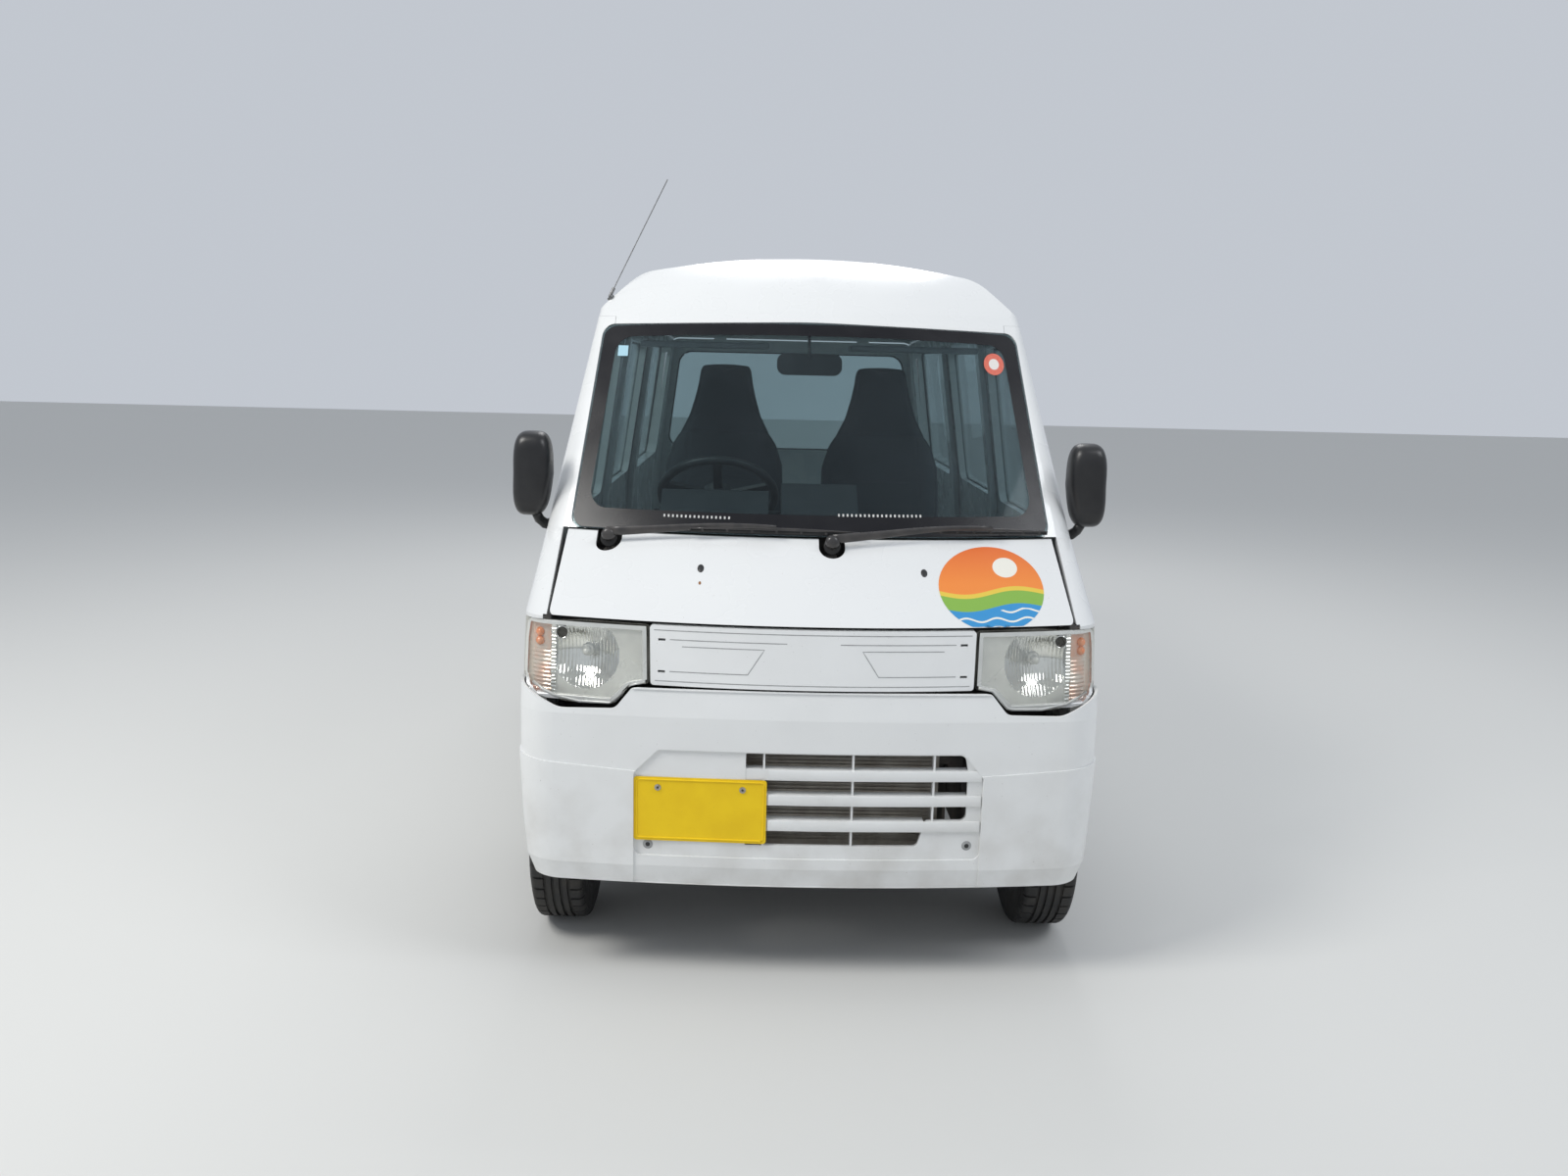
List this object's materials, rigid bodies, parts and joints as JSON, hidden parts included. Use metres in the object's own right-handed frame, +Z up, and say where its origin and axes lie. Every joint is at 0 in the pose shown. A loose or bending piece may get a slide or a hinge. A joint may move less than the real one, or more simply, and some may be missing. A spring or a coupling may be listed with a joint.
{
  "type": "kei van",
  "caption": "High-roof one-box micro van with a short sloping nose, hinged front doors, fixed sliding doors, a lift-up tailgate, steered front wheels and free-turning wheels.",
  "frame": {"origin": "on the road under the middle of the object's bounding box", "axes": "-Y towards the front of the van, +X towards its left side, +Z up"},
  "size_m": [1.635, 3.3905, 2.0958],
  "materials": {
    "body_paint": "glossy white, a little chalky",
    "white_plastic": "painted white moulding",
    "window_glass": "lightly tinted",
    "lamp_cover": "clear",
    "lamp_silver": "reflector",
    "tail_red": "red lens",
    "black_plastic": "grained black",
    "dark_metal": "satin black chassis paint",
    "fin_metal": "dark fins",
    "dash_grey": "grained grey",
    "seat_cloth": "dark grey cloth",
    "engine_grey": "cast",
    "exhaust_steel": "dull",
    "tyre_rubber": "black",
    "rim_paint": "silver paint",
    "plate_yellow": "plain yellow, blank",
    "antenna_steel": "dull"
  },
  "bodies": {
    "body": {"windscreen": "window_glass", "grille_panel": "white_plastic", "headlamp_lenses": "lamp_cover", "headlamps": "lamp_silver", "front_bumper": "white_plastic", "lower_grille": "white_plastic", "front_plate": "plate_yellow", "side_panel_left": "body_paint", "side_panel_right": "body_paint", "tail_lamps": "tail_red", "roof_panel": "body_paint", "sliding_door_left": "body_paint", "sliding_door_right": "body_paint", "rear_side_glass": "window_glass", "rear_bumper": "white_plastic", "chassis_frame": "dark_metal", "wheelhouses": "dark_metal", "floor_panel": "dark_metal", "cowl": "dark_metal", "radiator_support": "dark_metal", "radiator": "fin_metal", "dashboard": "dash_grey", "steering_column": "black_plastic", "front_seats": "seat_cloth", "seat_base": "dash_grey", "engine_block": "engine_grey", "fuel_tank": "dark_metal", "exhaust": "exhaust_steel", "front_crossmember": "dark_metal", "rear_axle": "dark_metal", "leaf_springs": "dark_metal", "wipers": "black_plastic", "antenna": "antenna_steel", "cabin_mirror": "black_plastic", "rear_plate": "plate_yellow"},
    "bonnet": {"bonnet": "body_paint"},
    "front_door_left": {"front_door_left": "body_paint", "front_door_glass_left": "window_glass", "door_mirror_left": "black_plastic"},
    "front_door_right": {"front_door_right": "body_paint", "front_door_glass_right": "window_glass", "door_mirror_right": "black_plastic"},
    "tailgate": {"tailgate": "body_paint", "tailgate_glass": "window_glass"},
    "knuckle_left": {"knuckle_left": "dark_metal"},
    "knuckle_right": {"knuckle_right": "dark_metal"},
    "wheel_front_left": {"tyre_front_left": "tyre_rubber", "rim_front_left": "rim_paint"},
    "wheel_front_right": {"tyre_front_right": "tyre_rubber", "rim_front_right": "rim_paint"},
    "wheel_rear_left": {"tyre_rear_left": "tyre_rubber", "rim_rear_left": "rim_paint"},
    "wheel_rear_right": {"tyre_rear_right": "tyre_rubber", "rim_rear_right": "rim_paint"},
    "steering_wheel": {"steering_wheel": "black_plastic"}
  },
  "joints": [
    {"name": "bonnet_hinge", "type": "hinge", "parent": "body", "child": "bonnet", "pos_m": [0, -1.4405, 1.035], "axis": [-1, 0, 0], "range_deg": [0, 50]},
    {"name": "front_door_left_hinge", "type": "hinge", "parent": "body", "child": "front_door_left", "pos_m": [0.7315, -1.2545, 0.87], "axis": [0, 0, -1], "range_deg": [0, 65]},
    {"name": "front_door_right_hinge", "type": "hinge", "parent": "body", "child": "front_door_right", "pos_m": [-0.7315, -1.2545, 0.87], "axis": [0, 0, 1], "range_deg": [0, 65]},
    {"name": "tailgate_hinge", "type": "hinge", "parent": "body", "child": "tailgate", "pos_m": [0, 1.622, 1.667], "axis": [1, 0, 0], "range_deg": [0, 85]},
    {"name": "steer_left", "type": "hinge", "parent": "body", "child": "knuckle_left", "pos_m": [0.6, -1.2675, 0.17], "axis": [-0.225, 0, 0.9744], "range_deg": [-35, 35]},
    {"name": "steer_right", "type": "hinge", "parent": "body", "child": "knuckle_right", "pos_m": [-0.6, -1.2675, 0.17], "axis": [0.225, 0, 0.9744], "range_deg": [-35, 35]},
    {"name": "steering_wheel_turn", "type": "hinge", "parent": "body", "child": "steering_wheel", "pos_m": [-0.265, -0.8795, 1.15], "axis": [0, 0.682, 0.7314], "range_deg": [-560, 560]},
    {"name": "wheel_spin_front_left", "type": "hinge", "parent": "knuckle_left", "child": "wheel_front_left", "pos_m": [0.655, -1.2675, 0.271], "axis": [1, 0, 0], "continuous": true},
    {"name": "wheel_spin_front_right", "type": "hinge", "parent": "knuckle_right", "child": "wheel_front_right", "pos_m": [-0.655, -1.2675, 0.271], "axis": [1, 0, 0], "continuous": true},
    {"name": "wheel_spin_rear_left", "type": "hinge", "parent": "body", "child": "wheel_rear_left", "pos_m": [0.655, 1.1225, 0.271], "axis": [1, 0, 0], "continuous": true},
    {"name": "wheel_spin_rear_right", "type": "hinge", "parent": "body", "child": "wheel_rear_right", "pos_m": [-0.655, 1.1225, 0.271], "axis": [1, 0, 0], "continuous": true}
  ],
  "couplings": [
    {"joint": "steer_right", "follows": "steer_left", "ratio": 1},
    {"joint": "steering_wheel_turn", "follows": "steer_left", "ratio": 16}
  ]
}
